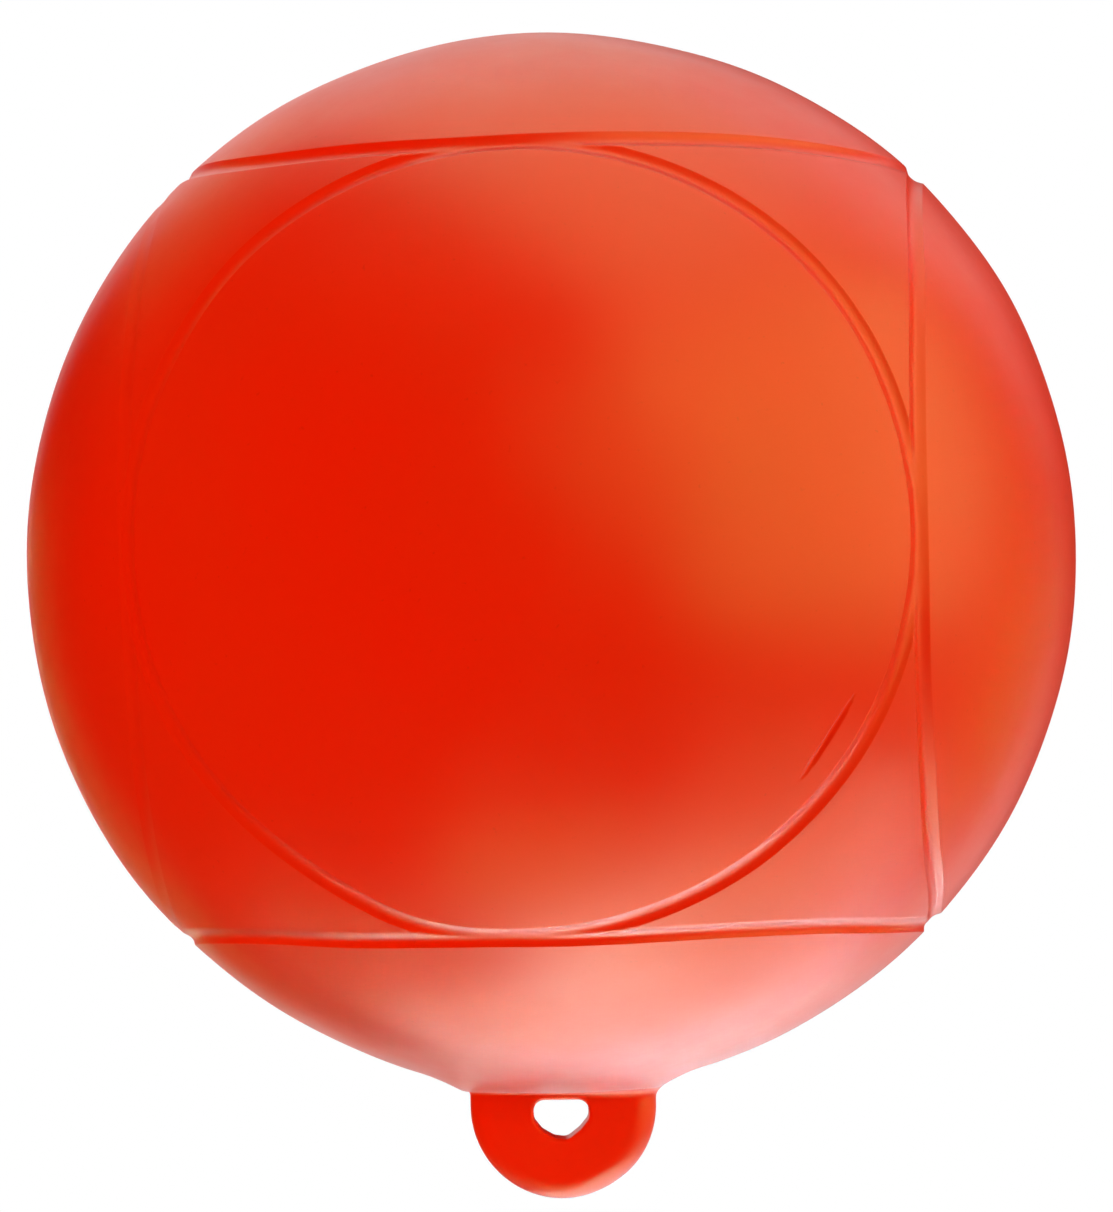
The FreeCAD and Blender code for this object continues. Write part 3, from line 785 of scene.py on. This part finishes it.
# Fills light the skin's own colour and aren't mirrored: direction, and the share of full light
# that each gives to a surface that faces it.
FILLS = [
    ("front_fill", 0, 0, 0.38),
    ("right_fill", 60, 0, 0.62),
    ("left_fill", -70, 10, 0.65),
    ("low_fill", 0, -75, 0.28),
    ("left_low_fill", -60, -35, 0.23),
    ("top_fill", 0, 75, 0.26),
    ("right_back_fill", 110, 0, 0.38),
    ("back_fill", 180, 8, 0.60),
]
FILL_DISTANCE = 1.6
FILL_SIZE = 1.1
LOW_FILL = -45                  # fills lower than this stand nearer
LOW_FILL_DISTANCE = 0.65
LOW_PANEL = -55                 # panels lower than this shine past the lug, without a shadow
# Dark cloths hung as bowls round the ball: direction of the middle, and how far they spread.
CLOTHS = [
    ("left_cloth", -67.7, -12.0, 90.5),
    ("right_cloth", 75.5, -10.2, 62.3),
    ("back_cloth", 161.9, 8.0, 22.5),
]
CLOTH_DISTANCE = 1.5
CLOTH_ROWS = 12
CLOTH_STEPS = 48
AMBIENT = 0.32                  # the studio's even light on the skin's own colour
WHITE = 1.0                     # the studio's white, as the camera and the skin see it


def place(name, data, azimuth, elevation, distance):
    """An object at a direction and distance from the ball, turned to face it."""
    made = bpy.data.objects.new(name, data)
    bpy.context.scene.collection.objects.link(made)
    away = direction(math.radians(azimuth) + AZIMUTH, math.radians(elevation))
    made.location = centre + distance * away
    made.rotation_mode = "QUATERNION"
    made.rotation_quaternion = away.to_track_quat("Z", "Y")
    return made


def area_lamp(name, azimuth, elevation, distance, width, height, energy):
    """A rectangular lamp, not seen by the camera."""
    data = bpy.data.lights.new(name, "AREA")
    data.shape = "RECTANGLE"
    data.size, data.size_y = width, height
    data.energy = energy
    data.cycles.use_multiple_importance_sampling = False   # a lamp keeps its strength beside the others
    lamp = place(name, data, azimuth, elevation, distance)
    lamp.visible_camera = False
    return lamp


for name, azimuth, elevation, distance, wide, high, radiance, colour in PANELS:
    width, height = wide * distance, high * distance
    energy = radiance * math.pi * width * height
    lamp = area_lamp(name, azimuth, elevation, distance, width, height, energy)
    lamp.data.color = colour
    lamp.data.use_shadow = elevation > LOW_PANEL
    lamp.visible_diffuse = False

for name, azimuth, elevation, share in FILLS:
    distance = LOW_FILL_DISTANCE if elevation < LOW_FILL else FILL_DISTANCE
    size = FILL_SIZE * distance / FILL_DISTANCE
    energy = share * math.pi ** 2 * distance ** 2
    lamp = area_lamp(name, azimuth, elevation, distance, size, size, energy)
    lamp.visible_glossy = False

cloth_paint = Nodes("dark_cloth")
weave = cloth_paint.noise(cloth_paint.add("ShaderNodeTexCoord").outputs["Object"], 40)
shade = cloth_paint.blend(weave, *CLOTH_BLACKS)
cloth_paint.link(shade, cloth_paint.shader.inputs["Base Color"])
cloth_paint.set(Roughness=1.0, Specular_IOR_Level=0.0)

for name, azimuth, elevation, spread in CLOTHS:
    points = [(0, 0, 0)]
    faces = []
    for row in range(1, CLOTH_ROWS + 1):
        lean = math.radians(spread * row / CLOTH_ROWS)
        side = math.sin(lean)
        first = len(points)
        for step in range(CLOTH_STEPS):
            turn = 2 * math.pi * step / CLOTH_STEPS
            points.append((side * math.cos(turn), side * math.sin(turn), math.cos(lean) - 1))
            here = first + step
            beside = first + (step + 1) % CLOTH_STEPS
            if row == 1:
                faces.append((0, here, beside))
            else:
                faces.append((here - CLOTH_STEPS, here, beside, beside - CLOTH_STEPS))
    mesh = bpy.data.meshes.new(name)
    mesh.from_pydata([tuple(CLOTH_DISTANCE * c for c in point) for point in points], [], faces)
    mesh.materials.append(cloth_paint.material)
    cloth = place(name, mesh, azimuth, elevation, CLOTH_DISTANCE)
    cloth.visible_camera = cloth.visible_shadow = cloth.visible_transmission = False


def seen_directly(tree):
    """Socket that is 1 for rays from the camera and for mirrored or transmitted ones, else 0."""
    path = tree.nodes.new("ShaderNodeLightPath")
    total = None
    for name in ("Is Camera Ray", "Is Glossy Ray", "Is Transmission Ray"):
        if total is None:
            total = path.outputs[name]
            continue
        node = tree.nodes.new("ShaderNodeMath")
        node.operation = "MAXIMUM"
        tree.links.new(total, node.inputs[0])
        tree.links.new(path.outputs[name], node.inputs[1])
        total = node.outputs[0]
    return total


world = bpy.data.worlds.new("studio")
bpy.context.scene.world = world
world.use_nodes = True
world.cycles.sampling_method = "NONE"   # the world is met only by rays that know what kind they are
tree = world.node_tree
background = tree.nodes["Background"]
background.inputs["Color"].default_value = (1, 1, 1, 1)
strength = tree.nodes.new("ShaderNodeMapRange")
strength.inputs["To Min"].default_value = AMBIENT
strength.inputs["To Max"].default_value = WHITE
tree.links.new(seen_directly(tree), strength.inputs["Value"])
tree.links.new(strength.outputs["Result"], background.inputs["Strength"])

# The floor.
FLOOR_DROP = 2.5                # below the rope eye: the buoy hangs clear of the floor
FLOOR_GREY = 0.45
FLOOR_MOTTLE = 0.01             # how much lighter and darker it gets
FLOOR_HALF = 9.0
OVER_WHITE = 0.01               # the floor's glow is this much above white, so that noise doesn't grey it

mesh = bpy.data.meshes.new("floor")
corners = [(x * FLOOR_HALF, y * FLOOR_HALF, -FLOOR_DROP) for x, y in ((-1, -1), (1, -1), (1, 1), (-1, 1))]
mesh.from_pydata(corners, [], [(0, 1, 2, 3)])
floor = bpy.data.objects.new("floor", mesh)
bpy.context.scene.collection.objects.link(floor)
paper = Nodes("pale_floor")
spot = paper.add("ShaderNodeTexCoord").outputs["Object"]
greys = [(FLOOR_GREY + change,) * 3 for change in (-FLOOR_MOTTLE, FLOOR_MOTTLE)]
paper.link(paper.blend(paper.noise(spot, 3), *greys), paper.shader.inputs["Base Color"])
paper.set(Roughness=0.9, Specular_IOR_Level=0.1)
paper.shader.inputs["Emission Color"].default_value = (1, 1, 1, 1)
glow = WHITE + OVER_WHITE - FLOOR_GREY * AMBIENT
paper.link(paper.spread(seen_directly(paper.tree), 0, 1, 0, glow), paper.shader.inputs["Emission Strength"])
floor.visible_glossy = False
mesh.materials.append(paper.material)

bpy.context.scene.view_settings.view_transform = "Standard"
